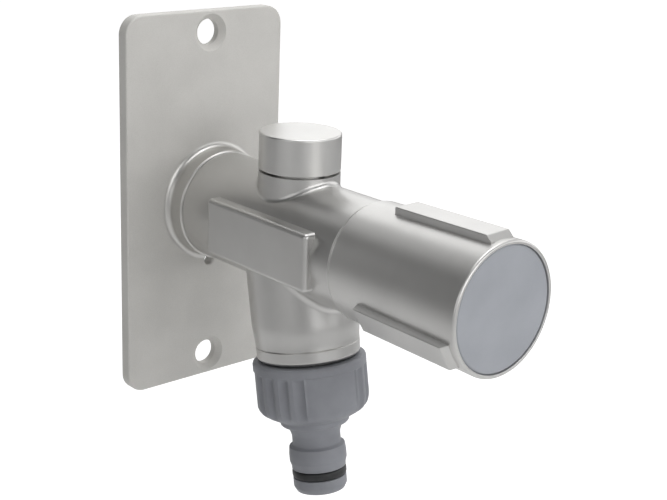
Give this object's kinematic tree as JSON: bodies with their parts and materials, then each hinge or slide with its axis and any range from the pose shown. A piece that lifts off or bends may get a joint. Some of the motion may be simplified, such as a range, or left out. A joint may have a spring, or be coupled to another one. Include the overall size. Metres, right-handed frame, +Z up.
{
  "type": "frost-free outdoor tap",
  "caption": "Wall-mounted outdoor tap: round barrel on a flat plate, ribbed turning knob, tilted outlet with hose coupling, and a capped vent on top.",
  "frame": {"origin": "where the tap's axis meets the wall, on the back face of the wall plate", "axes": "+Z up, +Y into the wall along the tap's axis, +X to the right seen from the front"},
  "size_m": [0.06, 0.1588, 0.1432],
  "materials": {
    "plate_metal": "satin",
    "body_metal": "satin",
    "cap_metal": "satin",
    "knob_metal": "satin",
    "disc_plastic": "moulded, matt",
    "coupling_plastic": "moulded, slightly glossy",
    "seal_rubber": "matt",
    "filter_felt": "felt",
    "plain_brass": "machined",
    "nickel_brass": "nickel plated",
    "tube_steel": "drawn",
    "screw_steel": "bright",
    "inner_plastic": "moulded"
  },
  "bodies": {
    "tap": {"wall_plate": "plate_metal", "wall_gasket": "seal_rubber", "set_screw": "screw_steel", "tap_body": "body_metal", "wall_tube": "tube_steel", "inlet_fitting": "plain_brass", "valve_seat": "plain_brass", "plunger_guide": "inner_plastic", "bonnet": "plain_brass", "bonnet_seal": "seal_rubber", "thrust_washer": "inner_plastic", "vent_cage": "inner_plastic", "vent_seat": "inner_plastic", "vent_cap": "cap_metal", "vent_filter": "filter_felt", "outlet_nipple": "nickel_brass", "check_body": "inner_plastic", "check_seal": "seal_rubber", "check_spring": "screw_steel"},
    "knob": {"knob_shell": "knob_metal", "knob_disc": "disc_plastic", "knob_hub": "inner_plastic", "knob_screw": "screw_steel", "spindle": "plain_brass", "spindle_seals": "seal_rubber", "spindle_clip": "screw_steel"},
    "plunger": {"valve_plunger": "plain_brass", "seat_washer": "seal_rubber", "washer_screw": "screw_steel"},
    "vent_float": {"vent_float": "inner_plastic"},
    "check_poppet": {"check_poppet": "inner_plastic"},
    "spigot": {"hose_spigot": "coupling_plastic", "spigot_ring": "seal_rubber", "flat_washer": "seal_rubber"},
    "nut": {"coupling_nut": "coupling_plastic"}
  },
  "joints": [
    {"name": "knob_turn", "type": "hinge", "parent": "tap", "child": "knob", "pos_m": [0, -0.1, 0], "axis": [0, -1, 0], "range_deg": [0, 900]},
    {"name": "valve_travel", "type": "slide", "parent": "tap", "child": "plunger", "axis": [0, -1, 0], "range_m": [0, 0.006]},
    {"name": "vent_float_lift", "type": "slide", "parent": "tap", "child": "vent_float", "axis": [0, 0, 1], "range_m": [0, 0.003]},
    {"name": "check_valve_lift", "type": "slide", "parent": "tap", "child": "check_poppet", "axis": [0, -0.184, -0.9829], "range_m": [0, 0.004], "stiffness_N_per_m": 80, "springref_m": -0.004, "deforming": ["check_spring"]},
    {"name": "coupling_slide", "type": "slide", "parent": "tap", "child": "spigot", "axis": [0, -0.184, -0.9829], "range_m": [0, 0.00862]},
    {"name": "coupling_turn", "type": "hinge", "parent": "spigot", "child": "nut", "pos_m": [0, -0.056, -0.04915], "axis": [0, -0.184, -0.9829], "range_deg": [0, 1710]}
  ],
  "couplings": [
    {"joint": "valve_travel", "follows": "knob_turn", "m_per_rad": 0.00038197},
    {"joint": "coupling_slide", "follows": "coupling_turn", "m_per_rad": 0.00028871}
  ]
}
